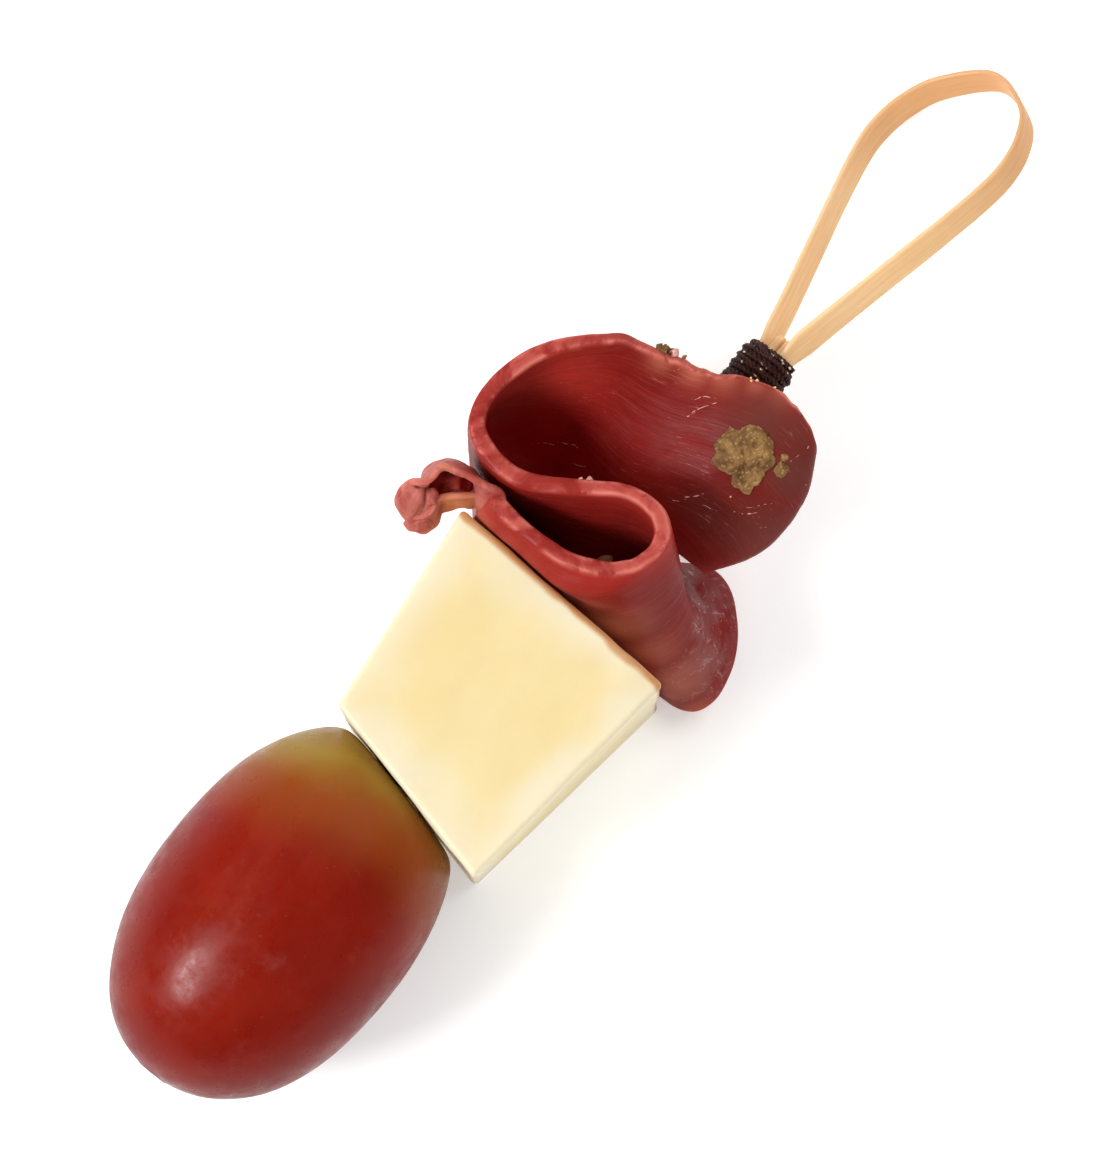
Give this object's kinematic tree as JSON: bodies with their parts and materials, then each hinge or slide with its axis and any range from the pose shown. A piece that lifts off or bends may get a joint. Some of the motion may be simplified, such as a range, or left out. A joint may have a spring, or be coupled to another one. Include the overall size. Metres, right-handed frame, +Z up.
{
  "type": "grape, cheese and cured beef skewer",
  "caption": "Cocktail skewer lying on its side: a red grape, a block of pale cheese and a folded slice of cured beef on a bamboo pick with a finger loop.",
  "frame": {"origin": "middle of the cheese block's flat underside, on the surface that the skewer lies on", "axes": "+X along the pick from the grape to the finger loop, +Z up from the surface, +Y to the left seen along +X"},
  "size_m": [0.0988, 0.0275, 0.0204],
  "materials": {
    "grape_skin": "waxy dark red skin, olive near the cheese",
    "cheese": "smooth pale yellow cut cheese",
    "beef": "moist dark red cured beef with fine fibres",
    "bamboo_stick": "plain bamboo, fine straight grain",
    "bamboo_strip": "planed bamboo strip, fine straight grain",
    "thread": "dark brown thread with bright flecks"
  },
  "bodies": {
    "root": {"grape": "grape_skin", "cheese": "cheese", "beef_slice": "beef", "tine_a": "bamboo_stick", "tine_b": "bamboo_stick", "loop_strip": "bamboo_strip", "thread_binding": "thread"}
  },
  "joints": []
}
